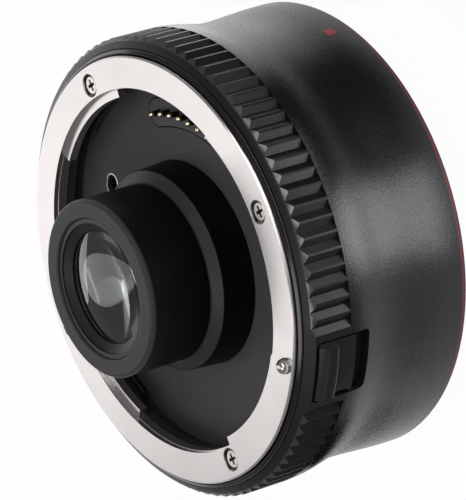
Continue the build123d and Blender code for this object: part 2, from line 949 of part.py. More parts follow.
# Flexible cables from the board to the two contact blocks
with BuildPart() as front_flex_cable:
    with BuildSketch(Plane.XY.offset(board_top)):
        with Locations((0, front_flex_radius)):
            Rectangle(flex_width, flex_thickness)
    extrude(amount=contact_board_bottom - board_top)
save(front_flex_cable, "front_flex_cable")

rear_foot_top = rear_flange_thickness + rear_block_foot_height
with BuildPart() as rear_flex_cable:
    with BuildSketch(Plane.XY.offset(rear_foot_top)):
        with Locations((0, rear_contact_circle_radius)):
            Rectangle(flex_width, flex_thickness)
    extrude(amount=board_bottom - rear_foot_top)
save(rear_flex_cable, "rear_flex_cable")

# Collar round the nose, drawn in towards its chamfered shoulder
collar_top = baffle_face + collar_height
chamfer_level = collar_top - collar_chamfer_height
collar_edge_radius = collar_radius - collar_draft
with BuildPart() as nose_collar:
    turned(
        (
            (collar_bore_radius, web_top),
            (collar_radius, web_top),
            (collar_radius, baffle_face),
            (collar_edge_radius, chamfer_level),
            (collar_edge_radius - collar_chamfer_width, collar_top),
            (collar_bore_radius, collar_top),
        )
    )
save(nose_collar, "nose_collar")

# Nose tube, with a slimmer spigot in the collar and a seat for the front glass stack
with BuildPart() as nose_tube:
    ring(nose_bore_radius, spigot_radius, cell_top, nose_front)
    ring(nose_bore_radius, nose_radius, collar_top + nose_relief_height, nose_front)
    front_rims = edges().filter_by(GeomType.CIRCLE).group_by(Axis.Z)[-1].sort_by(SortBy.RADIUS)
    fillet(front_rims[-1], nose_edge_radius)
    fillet(front_rims[0], nose_lip_radius)
    ring(nose_bore_radius - nose_seat_width, nose_bore_radius, cell_top, nose_seat_level)
save(nose_tube, "nose_tube")

# Stepped ring that holds the front glass
front_rim_radius = nose_bore_radius - running_clearance
front_step_radius = front_rim_radius - front_ring_rim_width
with BuildPart() as front_retaining_ring:
    turned(
        (
            (front_rim_radius, front_glass_level),
            (front_rim_radius, front_ring_top),
            (front_step_radius, front_ring_top),
            (front_step_radius, front_ring_top - front_ring_step),
            (front_ring_opening, front_glass_level + front_ring_lip),
            (front_ring_opening, front_glass_level),
        )
    )
save(front_retaining_ring, "front_retaining_ring")

# Rear cell: a tube with a flange under the web and a seat for the rear glass stack
with BuildPart() as rear_cell:
    ring(cell_bore_radius, spigot_radius, cell_end, cell_top)
    ring(
        nose_bore_radius - nose_seat_width,
        cell_bore_radius,
        cell_seat_level,
        cell_top,
    )
    ring(
        cell_bore_radius,
        nose_radius + cell_flange_width,
        web_bottom - cell_flange_height,
        web_bottom,
    )
save(rear_cell, "rear_cell")

# Ring that holds the rear glass
rear_rim_radius = cell_bore_radius - running_clearance
rear_opening = rear_rim_radius - cell_ring_width
with BuildPart() as rear_retaining_ring:
    turned(
        (
            (rear_rim_radius, rear_glass_level),
            (rear_rim_radius, cell_end + cell_ring_recess),
            (rear_opening + small_chamfer, cell_end + cell_ring_recess),
            (rear_opening, cell_end + cell_ring_recess + small_chamfer),
            (rear_opening, rear_glass_level),
        )
    )
save(rear_retaining_ring, "rear_retaining_ring")


def cap_height(clear_radius, bulge, radius):
    """Height over its rim of a spherical surface that bulges by a signed amount."""
    sphere_radius = (clear_radius**2 + bulge**2) / (2 * bulge)
    drop = abs(sphere_radius) - math.sqrt(sphere_radius**2 - radius**2)
    return bulge - math.copysign(drop, bulge)


def lens_element(rim_radius, clear_radii, top, bottom, bulges):
    """Turn a glass element whose front and rear surfaces bulge inside their clear radii."""
    front_radius, rear_radius = clear_radii
    front_bulge, rear_bulge = bulges
    with BuildSketch(Plane.XZ, mode=Mode.PRIVATE) as section:
        with BuildLine():
            ThreePointArc(
                (0, top + front_bulge),
                (front_radius / 2, top + cap_height(front_radius, front_bulge, front_radius / 2)),
                (front_radius, top),
            )
            Polyline(
                (front_radius, top),
                (rim_radius, top),
                (rim_radius, bottom),
                (rear_radius, bottom),
            )
            ThreePointArc(
                (rear_radius, bottom),
                (rear_radius / 2, bottom - cap_height(rear_radius, rear_bulge, rear_radius / 2)),
                (0, bottom - rear_bulge),
            )
            Line((0, bottom - rear_bulge), (0, top + front_bulge))
        make_face()
    revolve(section.sketch, axis=Axis.Z)


def glass_stack(stack_shares, rim_radius, top, bottom, front_opening, rear_opening):
    """Fill a bore with elements and spacers, each with its share of the length."""
    length = top - bottom
    spacer_radius = rim_radius - spacer_width
    level = top
    for index, (name, length_share, front_share, rear_share) in enumerate(stack_shares):
        lower_level = level - length * length_share
        front_clear = front_opening if index == 0 else spacer_radius
        rear_clear = rear_opening if index == len(stack_shares) - 1 else spacer_radius
        clear_radii = (front_clear - glass_rim_width, rear_clear - glass_rim_width)
        bulges = (length * front_share, length * rear_share)
        with BuildPart() as stack_piece:
            if "spacer" in name:
                ring(spacer_radius, rim_radius, lower_level, level)
            else:
                lens_element(rim_radius, clear_radii, level, lower_level, bulges)
        save(stack_piece, name)
        level = lower_level


# Front and rear glass stacks
seat_opening = nose_bore_radius - nose_seat_width
glass_stack(
    front_stack_shares,
    front_rim_radius,
    front_glass_level,
    nose_seat_level,
    front_ring_opening,
    seat_opening,
)
glass_stack(
    rear_stack_shares,
    rear_rim_radius,
    cell_seat_level,
    rear_glass_level,
    seat_opening,
    rear_opening,
)

# Camera-side bayonet: flange, tube, four tabs, a ledge and a hole for the camera's lock pin
rear_block_arc_half_angle = contact_arc_half_angle + rear_block_margin_angle
rear_contact_arc = CenterArc(
    (0, 0),
    rear_contact_circle_radius,
    90 - rear_block_arc_half_angle,
    2 * rear_block_arc_half_angle,
)
rear_screw_angles = (
    90 - rear_block_arc_half_angle + rear_block_screw_angle,
    90 + rear_block_arc_half_angle - rear_block_screw_angle,
)
rear_screw_circle_radius = bayonet_radius
rear_screw_bottom = rear_flange_thickness - rear_block_screw_depth
with BuildPart() as rear_bayonet_ring:
    ring(ledge_bore_radius, ring_radius, 0, rear_flange_thickness)
    ring(bayonet_bore_radius, bayonet_radius, -bayonet_height, 0)
    ring(ledge_bore_radius, bayonet_radius, -mask_level, 0)
    for tab_start, tab_size in rear_tab_starts_and_sizes:
        ring(
            bayonet_radius - seam_gap,
            rear_tab_radius,
            -rear_tab_level - rear_tab_thickness,
            -rear_tab_level,
            tab_start,
            tab_size,
        )
    drill(
        mount_screw_radius,
        screw_circle_radius,
        mount_screw_angles,
        0,
        rear_flange_thickness,
    )
    drill(counterbore_radius, screw_circle_radius, mount_screw_angles, 0, counterbore_depth)
    drill(
        lock_bore_radius + rear_lock_hole_gap,
        lock_circle_radius,
        (lock_angle,),
        0,
        rear_lock_hole_depth,
    )
    drill(
        rear_block_screw_radius,
        rear_screw_circle_radius,
        rear_screw_angles,
        rear_screw_bottom,
        rear_flange_thickness,
    )
    with BuildSketch(Plane.XY.offset(-mask_level), mode=Mode.PRIVATE) as block_opening:
        SlotArc(rear_contact_arc, rear_block_width + 2 * seam_gap)
    extrude(block_opening.sketch, amount=mask_level + rear_flange_thickness, mode=Mode.SUBTRACT)
save(rear_bayonet_ring, "rear_bayonet_ring")

# Four screws that hold the camera-side bayonet to the chassis
rear_head_top = counterbore_depth
with BuildPart() as rear_mount_screws:
    bars(mount_screw_radius, screw_circle_radius, mount_screw_angles, rear_head_top, rear_seat_top)
    bars(
        mount_screw_head_radius,
        screw_circle_radius,
        mount_screw_angles,
        mount_screw_sink,
        rear_head_top,
    )
    rear_head_rims = edges().filter_by(GeomType.CIRCLE).group_by(Axis.Z)[0]
    chamfer(rear_head_rims, small_chamfer)
    cross_recesses(screw_circle_radius, mount_screw_angles, mount_screw_sink, recess_depth)
save(rear_mount_screws, "rear_mount_screws")

# Contact block of the camera side, with a foot that rests on the flange
pad_bottom = -rear_block_reach
foot_outer_radius = rear_contact_circle_radius + rear_block_width / 2 + rear_block_foot_width
foot_inner_radius = rear_contact_circle_radius - rear_block_width / 2
with BuildPart() as rear_contact_block:
    with BuildSketch(Plane.XY.offset(pad_bottom)):
        SlotArc(rear_contact_arc, rear_block_width)
    extrude(amount=rear_block_reach + rear_flange_thickness)
    ring(
        foot_inner_radius,
        foot_outer_radius,
        rear_flange_thickness,
        rear_foot_top,
        90 - rear_block_arc_half_angle,
        2 * rear_block_arc_half_angle,
    )
    for contact_angle in contact_angles:
        with BuildSketch(Plane.XY.offset(pad_bottom), mode=Mode.PRIVATE) as pocket:
            with Locations(place(rear_contact_circle_radius, contact_angle)):
                Rectangle(rear_pad_length, rear_pad_width, rotation=contact_angle)
        extrude(pocket.sketch, amount=rear_pad_thickness, mode=Mode.SUBTRACT)
    drill(
        rear_block_screw_radius,
        rear_screw_circle_radius,
        rear_screw_angles,
        rear_flange_thickness,
        rear_foot_top,
    )
save(rear_contact_block, "rear_contact_block")

# Flat contacts let into that block
with BuildPart() as rear_contact_pads:
    with BuildSketch(Plane.XY.offset(pad_bottom)):
        for contact_angle in contact_angles:
            with Locations(place(rear_contact_circle_radius, contact_angle)):
                Rectangle(rear_pad_length, rear_pad_width, rotation=contact_angle)
    extrude(amount=rear_pad_thickness)
save(rear_contact_pads, "rear_contact_pads")

# Two screws that hold the block's foot to the flange
with BuildPart() as rear_contact_screws:
    bars(
        rear_block_screw_radius,
        rear_screw_circle_radius,
        rear_screw_angles,
        rear_screw_bottom,
        rear_foot_top,
    )
    bars(
        rear_block_screw_head_radius,
        rear_screw_circle_radius,
        rear_screw_angles,
        rear_foot_top,
        rear_foot_top + rear_block_screw_head_height,
    )
save(rear_contact_screws, "rear_contact_screws")

# Light mask inside the camera-side bayonet
with BuildPart() as rear_baffle:
    with BuildSketch(Plane.XY.offset(-mask_level - mask_thickness)):
        Circle(bayonet_bore_radius - running_clearance)
        SlotArc(rear_contact_arc, rear_block_width + 2 * seam_gap, mode=Mode.SUBTRACT)
        RectangleRounded(
            mask_window_width,
            mask_window_height,
            mask_window_corner,
            mode=Mode.SUBTRACT,
        )
    extrude(amount=mask_thickness)
save(rear_baffle, "rear_baffle")

# Thin red ring at the rear edge of the barrel
with BuildPart() as red_accent_ring:
    ring(lip_inner_radius, barrel_rear_radius, accent_level, barrel_skirt_level)
save(red_accent_ring, "red_accent_ring")

# Rubber lip round the camera seat
lip_outer_radius = lip_inner_radius + lip_width
with BuildPart() as rear_weather_seal:
    turned(
        (
            (lip_inner_radius, accent_level),
            (lip_inner_radius, 0),
            (lip_inner_radius + lip_width / 2, -lip_reach),
            (lip_outer_radius, base_ring_step),
            (lip_outer_radius, accent_level),
        )
    )
save(rear_weather_seal, "rear_weather_seal")

# Base ring outside the lip
base_outer_radius = barrel_rear_radius - base_ring_set_back
with BuildPart() as rear_base_ring:
    turned(
        (
            (lip_outer_radius, accent_level),
            (lip_outer_radius, base_ring_step),
            (base_outer_radius - small_chamfer, base_ring_step),
            (base_outer_radius, base_ring_step + small_chamfer),
            (base_outer_radius, accent_level),
        )
    )
save(rear_base_ring, "rear_base_ring")
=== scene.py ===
# %% [markdown]
# # A camera teleconverter, dressed in Blender
#
# A teleconverter is a short tube that sits between a camera and its lens. The solids come from the
# CAD model, with +Z along the axis towards the lens. Blender and the model both count in metres, so
# MM stands for a millimetre below. This lesson gives the solids their finishes, replaces a few of
# them by pieces with softened edges, adds the printed index, and lights it all on a pale floor.

import json
import math

import bmesh
import bpy
from mathutils import Matrix, Vector
from mathutils.bvhtree import BVHTree

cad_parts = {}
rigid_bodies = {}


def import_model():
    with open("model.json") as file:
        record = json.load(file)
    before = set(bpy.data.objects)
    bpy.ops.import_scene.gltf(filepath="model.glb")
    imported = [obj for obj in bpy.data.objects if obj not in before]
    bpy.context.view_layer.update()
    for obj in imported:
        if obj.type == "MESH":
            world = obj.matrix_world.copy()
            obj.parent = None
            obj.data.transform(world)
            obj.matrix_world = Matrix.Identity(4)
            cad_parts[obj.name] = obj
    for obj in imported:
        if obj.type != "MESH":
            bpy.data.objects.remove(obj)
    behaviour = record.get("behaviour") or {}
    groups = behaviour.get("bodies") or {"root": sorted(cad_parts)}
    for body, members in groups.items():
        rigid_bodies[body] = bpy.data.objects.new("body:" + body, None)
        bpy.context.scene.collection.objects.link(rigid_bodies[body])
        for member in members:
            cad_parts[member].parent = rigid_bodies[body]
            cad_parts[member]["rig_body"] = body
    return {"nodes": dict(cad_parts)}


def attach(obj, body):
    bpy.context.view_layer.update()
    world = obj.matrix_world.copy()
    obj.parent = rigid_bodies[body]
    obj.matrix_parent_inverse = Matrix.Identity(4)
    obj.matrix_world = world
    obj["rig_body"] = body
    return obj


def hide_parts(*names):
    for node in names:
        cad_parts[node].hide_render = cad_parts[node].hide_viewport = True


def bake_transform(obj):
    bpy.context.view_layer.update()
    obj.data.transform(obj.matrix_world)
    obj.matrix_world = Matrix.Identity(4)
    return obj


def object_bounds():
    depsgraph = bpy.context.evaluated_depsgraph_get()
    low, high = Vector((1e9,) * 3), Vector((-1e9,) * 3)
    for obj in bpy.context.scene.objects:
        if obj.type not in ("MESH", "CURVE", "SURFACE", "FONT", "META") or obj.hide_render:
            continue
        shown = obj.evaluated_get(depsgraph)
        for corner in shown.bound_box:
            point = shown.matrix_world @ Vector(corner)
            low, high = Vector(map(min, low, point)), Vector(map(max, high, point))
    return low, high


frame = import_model()
nodes = frame["nodes"]
cad_low, cad_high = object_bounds()
MM = 0.001
print("CAD box in millimetres:", [round(side / MM, 2) for side in cad_high - cad_low])

# %% [markdown]
# ## Colours and nodes
#
# Colours are easiest to read as the hex values of a paint chart, but Blender shades in linear
# light, so one function turns a hex value to linear. A second one adds a shader node, sets its
# values and joins its inputs. The finishes below are all built from that one function, so each of
# them shows its whole network.

# %% Colours, nodes and empty materials
# A Mix node has sockets for numbers, vectors and colours. These are the two colours and the result.
colour_a, colour_b, mixed_colour = 6, 7, 2


def linear(hex_colour):
    """Linear red, green, blue and alpha of an sRGB hex colour such as 1a1a1b."""
    channels = [int(hex_colour[place:place + 2], 16) / 255 for place in (0, 2, 4)]
    return [c / 12.92 if c <= 0.04045 else ((c + 0.055) / 1.055) ** 2.4 for c in channels] + [1.0]


def add_node(tree, kind, values=None, links=None, **settings):
    """Add a node, set its properties and input values, and join its inputs to other nodes."""
    node = tree.nodes.new(kind)
    for name, setting in settings.items():
        setattr(node, name, setting)
    for name, value in (values or {}).items():
        node.inputs[name].default_value = value
    for name, output in (links or {}).items():
        tree.links.new(output, node.inputs[name])
    return node


def new_finish(name):
    """An empty material and its node tree."""
    material = bpy.data.materials.new(name)
    material.use_nodes = True
    material.node_tree.nodes.clear()
    return material, material.node_tree


print("mid grey 808080 is", round(linear("808080")[0], 3), "in linear light")

# %% [markdown]
# ## The floor
#
# The object stands on its camera-side bayonet, so the floor lies at its lowest point. The floor is
# a plain pale sheet. Seen by the camera, or in a gloss or a glass, it shows mostly its own white,
# and the small rest of it is lit like any matt paint, so that it keeps a soft shadow under the
# object.

# %% Floor sheet
floor_half_width = 3.0
floor_mesh = bpy.data.meshes.new("floor")
shape = bmesh.new()
bmesh.ops.create_grid(shape, x_segments=1, y_segments=1, size=floor_half_width)
bmesh.ops.translate(shape, verts=shape.verts, vec=(0, 0, cad_low.z))
shape.to_mesh(floor_mesh)
shape.free()
floor = bpy.data.objects.new("floor", floor_mesh)
bpy.context.scene.collection.objects.link(floor)
print("floor at", round(cad_low.z / MM, 2), "mm")

# %% Floor paint
own_white_share = 0.96
floor_paint, tree = new_finish("pale_floor_paint")
ray = add_node(tree, "ShaderNodeLightPath")
seen = add_node(
    tree, "ShaderNodeMath", operation="MAXIMUM",
    links={0: ray.outputs["Is Camera Ray"], 1: ray.outputs["Is Glossy Ray"]},
)
seen = add_node(
    tree, "ShaderNodeMath", operation="MAXIMUM",
    links={0: seen.outputs[0], 1: ray.outputs["Is Transmission Ray"]},
)
own_white = add_node(
    tree, "ShaderNodeMath", {1: own_white_share}, {0: seen.outputs[0]}, operation="MULTIPLY",
)
paint = add_node(tree, "ShaderNodeBsdfDiffuse", {"Color": linear("f6f5f3")})
white = add_node(tree, "ShaderNodeEmission", {"Color": linear("ffffff"), "Strength": 1.0})
floor_shader = add_node(
    tree, "ShaderNodeMixShader",
    links={0: own_white.outputs[0], 1: paint.outputs[0], 2: white.outputs[0]},
)
add_node(tree, "ShaderNodeOutputMaterial", links={"Surface": floor_shader.outputs[0]})
floor_mesh.materials.append(floor_paint)
print("own white of the floor:", own_white_share)

# %% [markdown]
# ## Light
#
# A black object is drawn by what it mirrors. A plain grey surrounding gives the soft base light. A
# tall narrow panel stands where the flat bright ring mirrors it to the camera, so the turned metal
# is bright on two sides and greyer between them. That panel and the one behind the object are oval,
# because the front glass mirrors them too, and a panel with corners would look like a window there.
# The other panels light the shoulder, the noses of the ribs and the edge of the glass. The sides of
# the barrel and the ribs face down to the floor as seen from the camera, so three small strips lie
# there and draw the sheen. Each lamp is given by its place and by its brightness as seen from the
# object, and its energy follows from its area.

# %% Surroundings
surround_strength = 0.3
world = bpy.data.worlds.new("studio")
world.use_nodes = True
world.node_tree.nodes.clear()
surround = add_node(
    world.node_tree, "ShaderNodeBackground",
    {"Color": linear("f5f5f5"), "Strength": surround_strength},
)
add_node(world.node_tree, "ShaderNodeOutputWorld", links={"Surface": surround.outputs[0]})
bpy.context.scene.world = world
print("surroundings at", surround_strength)

# %% Lamps
strip_level = cad_low.z + 1.5 * MM
# The name, the azimuth in degrees, the distance from the axis and the level in metres, the
# direction it faces as a step outwards and a step up, the width and height in metres, the
# brightness and the outline.
lamps = (
    ("ring_panel", 214, 0.78, 0.67, (-0.78, -0.64), 0.30, 0.86, 1.22, "ELLIPSE"),
    ("facet_panel", 62, 0.68, 0.76, (-0.68, -0.73), 1.1, 0.3, 3.6, "RECTANGLE"),
    ("glass_strip", 226, 0.45, 0.93, (-0.45, -0.89), 0.45, 0.07, 6.0, "RECTANGLE"),
    ("back_panel", 195, 1.0, 0.25, (-1.0, -0.22), 0.9, 0.45, 1.4, "ELLIPSE"),
    ("overhead_panel", 330, 0.42, 0.92, (-0.42, -0.9), 0.45, 0.45, 3.0, "RECTANGLE"),
    ("sheen_strip", 32, 0.063, strip_level, (0, 1), 0.026, 0.03, 5.4, "RECTANGLE"),
    ("rib_strip", 60, 0.093, strip_level, (0, 1), 0.045, 0.016, 7.0, "RECTANGLE"),
    ("rim_strip", 128, 0.095, strip_level, (0, 1), 0.06, 0.09, 1.6, "RECTANGLE"),
)
for name, azimuth, distance, level, facing, width, height, radiance, outline in lamps:
    area_share = math.pi / 4 if outline == "ELLIPSE" else 1
    data = bpy.data.lights.new(name, "AREA")
    data.shape = outline
    data.size = width
    data.size_y = height
    data.energy = radiance * math.pi * width * height * area_share
    turn = math.radians(azimuth)
    outward = Vector((math.cos(turn), math.sin(turn), 0))
    across = Vector((-math.sin(turn), math.cos(turn), 0))
    back = -(outward * facing[0] + Vector((0, 0, facing[1]))).normalized()
    lamp = bpy.data.objects.new(name, data)
    lamp.location = outward * distance + Vector((0, 0, level))
    lamp.rotation_mode = "QUATERNION"
    axes = Matrix((across, back.cross(across), back)).transposed()
    lamp.rotation_quaternion = axes.to_quaternion()
    lamp.visible_camera = False
    bpy.context.scene.collection.objects.link(lamp)
    print(name, "at", [round(side / MM) for side in lamp.location], "mm")

# %% [markdown]
# ## Black flags
#
# The white floor would be mirrored all round the barrel and turn its black grey. Photographers lay
# sheets of black card beside a dark product where it should stay black. A large card lies between
# the low strips, where the barrel mirrors it, and two smaller ones lie where the sides of the ribs
# and the foot of the barrel mirror the floor. The camera doesn't see them. The paper is uncoated,
# so it gives no gloss, and its fibres are drawn at 1.5 mm.

# %% Black card paper
fibre_size = 1.5 * MM
card_paper, tree = new_finish("black_card_paper")
place = add_node(tree, "ShaderNodeTexCoord")
fibre = add_node(
    tree, "ShaderNodeTexNoise", {"Scale": 1 / fibre_size}, {"Vector": place.outputs["Object"]},
)
shade = add_node(
    tree, "ShaderNodeMix", {colour_a: linear("0a0a0a"), colour_b: linear("0e0e0e")},
    {"Factor": fibre.outputs["Fac"]}, data_type="RGBA",
)
paper = add_node(tree, "ShaderNodeBsdfDiffuse", links={"Color": shade.outputs[mixed_colour]})
add_node(tree, "ShaderNodeOutputMaterial", links={"Surface": paper.outputs[0]})
print("card fibres of", fibre_size / MM, "mm")

# %% Black cards
card_level = cad_low.z + 0.5 * MM
# The name, the azimuth in degrees, and in millimetres the near and far end and the half width.
cards = (
    ("barrel_card", 80, 45, 225, 60),
    ("rib_card", -14, 62, 110, 50),
    ("foot_card", -62, 50, 100, 20),
)
for name, azimuth, near_mm, far_mm, half_width_mm in cards:
    half_length = (far_mm - near_mm) / 2 * MM
    middle = (near_mm + far_mm) / 2 * MM
    turn = Matrix.Rotation(math.radians(azimuth), 3, "Z")
    mesh = bpy.data.meshes.new(name)
    shape = bmesh.new()
    bmesh.ops.create_grid(shape, x_segments=1, y_segments=1, size=1.0)
    bmesh.ops.scale(shape, verts=shape.verts, vec=(half_length, half_width_mm * MM, 1))
    bmesh.ops.translate(shape, verts=shape.verts, vec=(middle, 0, card_level))
    bmesh.ops.rotate(shape, verts=shape.verts, cent=(0, 0, 0), matrix=turn)
    shape.to_mesh(mesh)
    shape.free()
    mesh.materials.append(card_paper)
    card = bpy.data.objects.new(name, mesh)
    card.visible_camera = False
    bpy.context.scene.collection.objects.link(card)
    print(name, "reaches from", near_mm, "to", far_mm, "mm out")

# %% [markdown]
# ## Camera
#
# The photograph was taken from in front and above with a long lens and a strong tilt of the camera.
# The place, the direction and the lens were fitted to the ring's ellipses and the barrel's edges.

# %% Camera
fitted_lens_mm = 288.7
fitted_place = (0.4179, 0.31435, 0.36097)
fitted_back = Vector((0.6682, 0.5026, 0.5485))
fitted_up = Vector((-0.4533, 0.8597, -0.2356))
camera_data = bpy.data.cameras.new("camera")
camera_data.lens = fitted_lens_mm
camera = bpy.data.objects.new("camera", camera_data)
camera.location = fitted_place
camera_back = fitted_back.normalized()
camera_right = fitted_up.cross(camera_back).normalized()
camera_up = camera_back.cross(camera_right)
camera.rotation_mode = "QUATERNION"
camera_axes = Matrix((camera_right, camera_up, camera_back)).transposed()
camera.rotation_quaternion = camera_axes.to_quaternion()
bpy.context.scene.collection.objects.link(camera)
bpy.context.scene.camera = camera
bpy.context.scene.view_settings.view_transform = "Standard"
print("camera distance:", round(camera.location.length, 3), "m")

# %% [markdown]
# ## Black powder coat
#
# The barrel and the grip are turned aluminium with a black polyester powder coat. The powder melts
# into a skin with a fine pebble, so the eye gets a broad sheen that breaks up into sparks where a
# lamp is mirrored, and near black beside it. The pebble of the real coat is about 0.15 mm, too fine
# for a small picture, so it is drawn at 0.27 mm. A noise at that size drives the relief and the
# roughness, and a slow cloud keeps the black from being even.

# %% Powder coat
# A noise keeps mostly between these two levels, so every range of roughness is laid over them.
noise_low, noise_high = 0.3, 0.7
coat_cloud_size = 9 * MM


def powder_coat(name, dark, pale, pebble_mm, depth_mm, rough_low, rough_high, gloss):
    """A pebbled coat between two shades, with its pebble's size and depth in millimetres."""
    material, tree = new_finish(name)
    place = add_node(tree, "ShaderNodeTexCoord")
    pebble = add_node(
        tree, "ShaderNodeTexNoise",
        {"Scale": 1 / (pebble_mm * MM), "Detail": 2.0, "Roughness": 0.7},
        {"Vector": place.outputs["Object"]},
    )
    cloud = add_node(
        tree, "ShaderNodeTexNoise", {"Scale": 1 / coat_cloud_size, "Detail": 1.0},
        {"Vector": place.outputs["Object"]},
    )
    shade = add_node(
        tree, "ShaderNodeMix", {colour_a: linear(dark), colour_b: linear(pale)},
        {"Factor": cloud.outputs["Fac"]}, data_type="RGBA",
    )
    rough = add_node(
        tree, "ShaderNodeMapRange",
        {
            "From Min": noise_low, "From Max": noise_high,
            "To Min": rough_low, "To Max": rough_high,
        },
        {"Value": pebble.outputs["Fac"]},
    )
    relief = add_node(
        tree, "ShaderNodeBump", {"Strength": 1.0, "Distance": depth_mm * MM},
        {"Height": pebble.outputs["Fac"]},
    )
    skin = add_node(
        tree, "ShaderNodeBsdfPrincipled", {"IOR": 1.5, "Specular IOR Level": gloss},
        {
            "Base Color": shade.outputs[mixed_colour], "Roughness": rough.outputs[0],
            "Normal": relief.outputs[0],
        },
    )
    add_node(tree, "ShaderNodeOutputMaterial", links={"Surface": skin.outputs[0]})
    print(name, "pebble of", pebble_mm, "mm")
    return material


# The barrel mirrors the low strips as one soft band with a fine sparkle.
barrel_coat = powder_coat(
    "barrel_powder_coat", "131314", "191919", 0.27, 0.045, 0.22, 0.30, 0.4,
)
# The grip is duller and darker, so its ribs stay black between their lit edges.
grip_coat = powder_coat(
    "grip_powder_coat", "0e0e0f", "141415", 0.27, 0.045, 0.32, 0.42, 0.3,
)

# %% [markdown]
# ## Satin chrome and other bright metals
#
# A lens mount is brass, turned flat and plated with hard chrome, then lapped to a satin. The eye
# gets a bright, faintly warm grey that mirrors whole panels softly but no detail. Fine turning
# lines run round the axis; their real pitch of 0.05 mm is drawn at 0.3 mm and very shallow. They
# also stretch what the flat ring mirrors across themselves, which a tangent round the axis gives.
# Screws, pins and springs are the same kind of turned metal with another colour. A finish may name
# a level below which a darker colour takes over as painted shade, as at the bottom of a screw's
# cross and on the shanks of the contacts.

# %% Turned metal
line_pitch = 0.3 * MM
metal_cloud_size = 6 * MM
painted_shade_fade_mm = 0.1
quarter_turn = 0.25
# A wave texture runs through 20 radians in one unit, so this scale gives one ring for each pitch.
line_scale = math.tau / 20 / line_pitch


def turned_metal(
    name, dark, pale, rough_low, rough_high, line_depth_mm, painted_shade_colour="", painted_shade_level=0.0, stretch=0.0,
):
    """A metal between two shades, with a darker painted shade below a level in millimetres if
    named.
    """
    material, tree = new_finish(name)
    place = add_node(tree, "ShaderNodeTexCoord")
    lines = add_node(
        tree, "ShaderNodeTexWave", {"Scale": line_scale}, {"Vector": place.outputs["Object"]},
        wave_type="RINGS", rings_direction="Z",
    )
    cloud = add_node(
        tree, "ShaderNodeTexNoise", {"Scale": 1 / metal_cloud_size, "Detail": 2.0},
        {"Vector": place.outputs["Object"]},
    )
    shade = add_node(
        tree, "ShaderNodeMix", {colour_a: linear(dark), colour_b: linear(pale)},
        {"Factor": cloud.outputs["Fac"]}, data_type="RGBA",
    )
    # Below the named level the colour is painted darker, as shade.
    if painted_shade_colour:
        height = add_node(tree, "ShaderNodeSeparateXYZ", links={0: place.outputs["Object"]})
        inside = add_node(
            tree, "ShaderNodeMapRange",
            {
                "From Min": (painted_shade_level - painted_shade_fade_mm) * MM, "From Max": painted_shade_level * MM,
                "To Min": 1.0, "To Max": 0.0,
            },
            {"Value": height.outputs["Z"]},
        )
        shade = add_node(
            tree, "ShaderNodeMix", {colour_b: linear(painted_shade_colour)},
            {"Factor": inside.outputs[0], colour_a: shade.outputs[mixed_colour]},
            data_type="RGBA",
        )
    rough = add_node(
        tree, "ShaderNodeMapRange",
        {
            "From Min": noise_low, "From Max": noise_high,
            "To Min": rough_low, "To Max": rough_high,
        },
        {"Value": cloud.outputs["Fac"]},
    )
    relief = add_node(
        tree, "ShaderNodeBump", {"Strength": 0.5, "Distance": line_depth_mm * MM},
        {"Height": lines.outputs["Fac"]},
    )
    turning = add_node(tree, "ShaderNodeTangent", direction_type="RADIAL", axis="Z")
    skin = add_node(
        tree, "ShaderNodeBsdfPrincipled",
        {"Metallic": 1.0, "Anisotropic": stretch, "Anisotropic Rotation": quarter_turn},
        {
            "Base Color": shade.outputs[mixed_colour], "Roughness": rough.outputs[0],
            "Normal": relief.outputs[0], "Tangent": turning.outputs[0],
        },
    )
    add_node(tree, "ShaderNodeOutputMaterial", links={"Surface": skin.outputs[0]})
    print(name, "roughness", rough_low, "to", rough_high)
    return material


# %% Chrome, nickel, steel and gold
# The lens and camera mounts: bright and faintly warm, with soft stretched mirrors.
satin_chrome = turned_metal(
    "satin_chrome_on_brass", "cbc6c5", "d3cecd", 0.20, 0.26, 0.001, stretch=0.5,
)
# The screws on the camera side and inside: a plain grey nickel.
nickel_steel = turned_metal("nickel_plated_steel", "a5a29f", "bab7b4", 0.20, 0.30, 0.0005)
# The screws in the bright ring: pale heads, with painted shade at the bottom of their crosses.
screw_nickel = turned_metal(
    "nickel_plated_screws", "b9b5b1", "cbc8c5", 0.16, 0.24, 0.0005, "4e4b48", 31.6,
)
# The lock pin: polished, with a small sharp glint on its dome.
polished_steel = turned_metal("polished_pin_steel", "b2afac", "c2bfbc", 0.08, 0.14, 0.0003)
# The bush in the well: a thin pale line round a dark hole.
bush_nickel = turned_metal("nickel_plated_bush", "dedbd8", "e8e6e3", 0.30, 0.38, 0.0003)
# The sprung contacts: tips painted pale gold as a highlight, over shanks painted dark as shade.
gold_plate = turned_metal(
    "gold_plated_contacts", "f6e6c0", "fbf0d6", 0.10, 0.16, 0.0003, "4a3a20", 27.2,
)
# The pads toward the camera: a deeper gold with a satin.
pad_gold = turned_metal("gold_plated_pads", "c79a55", "e2c07c", 0.20, 0.30, 0.0003)
# Springs, leaves, rods and shim: bare steel, darker and duller.
spring_steel = turned_metal("spring_steel_wire", "8d8a86", "a5a29e", 0.28, 0.38, 0.0005)

# %% [markdown]
# ## Anodised, painted and moulded blacks
#
# The other blacks differ only a little, and that difference is what tells the pieces apart. Most
# are anodised aluminium with a smooth satin, the well is painted dead matt to swallow stray light,
# and the lever and the contact block are moulded plastic with a fine spark-eroded grain. One
# function builds them, with a grain for the relief and the roughness and a slow cloud for the
# colour. On the nose and the collar a paler colour takes over above a level, as painted light on
# the turned front faces that face the lamps.

# %% Smooth and grained skins
skin_cloud_size = 7 * MM
painted_light_fade_mm = 0.15


